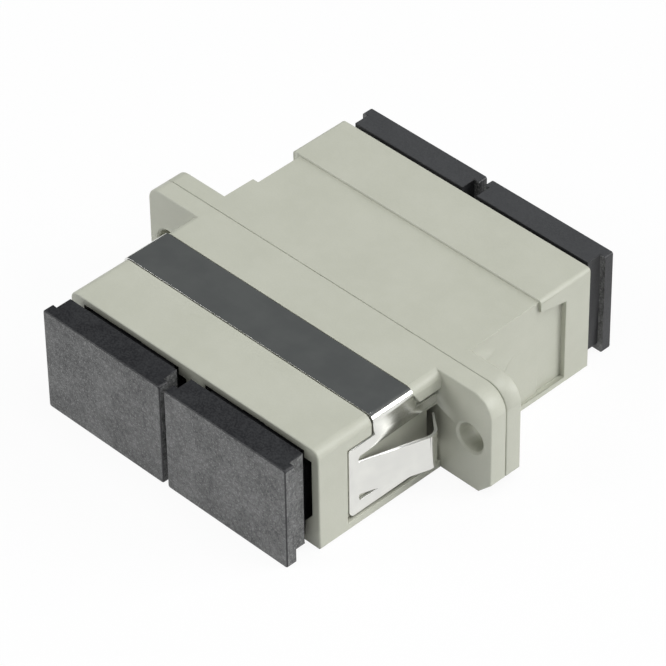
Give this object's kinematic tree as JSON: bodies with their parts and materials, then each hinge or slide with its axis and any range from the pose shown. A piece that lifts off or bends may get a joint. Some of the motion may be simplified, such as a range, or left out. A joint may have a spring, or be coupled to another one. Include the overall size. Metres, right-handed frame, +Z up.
{
  "type": "fibre optic adapter",
  "caption": "Flanged duplex SC fibre-optic adapter with a spring-steel panel clip over its front half, latching plug ports at both ends and pull-out dust caps.",
  "frame": {"origin": "bottom face, midway between the fibre axes, in the seam of the flange's two plates", "axes": "+X across the flange, +Y along the fibres towards the rear collar, +Z up, the side of the strap and of the key slots"},
  "size_m": [0.0354, 0.0336, 0.0094],
  "materials": {
    "housing": "fine satin moulded beige",
    "clip": "rolled spring steel, bright",
    "cap": "grained charcoal moulding",
    "holder": "satin natural moulding",
    "sleeve": "polished zirconia ceramic"
  },
  "bodies": {
    "adapter": {"housing_front": "housing", "housing_rear": "housing", "mounting_clip": "clip", "latch_holder_front_left": "holder", "latch_holder_front_right": "holder", "latch_holder_rear_left": "holder", "latch_holder_rear_right": "holder", "alignment_sleeve_left": "sleeve", "alignment_sleeve_right": "sleeve"},
    "dust_cap_front_left": {"dust_cap_front_left": "cap"},
    "dust_cap_front_right": {"dust_cap_front_right": "cap"},
    "dust_cap_rear_left": {"dust_cap_rear_left": "cap"},
    "dust_cap_rear_right": {"dust_cap_rear_right": "cap"}
  },
  "joints": [
    {"name": "dust_cap_front_left_pull", "type": "slide", "parent": "adapter", "child": "dust_cap_front_left", "axis": [0, -1, 0], "range_m": [0, 0.03]},
    {"name": "dust_cap_front_right_pull", "type": "slide", "parent": "adapter", "child": "dust_cap_front_right", "axis": [0, -1, 0], "range_m": [0, 0.03]},
    {"name": "dust_cap_rear_left_pull", "type": "slide", "parent": "adapter", "child": "dust_cap_rear_left", "axis": [0, 1, 0], "range_m": [0, 0.03]},
    {"name": "dust_cap_rear_right_pull", "type": "slide", "parent": "adapter", "child": "dust_cap_rear_right", "axis": [0, 1, 0], "range_m": [0, 0.03]}
  ]
}
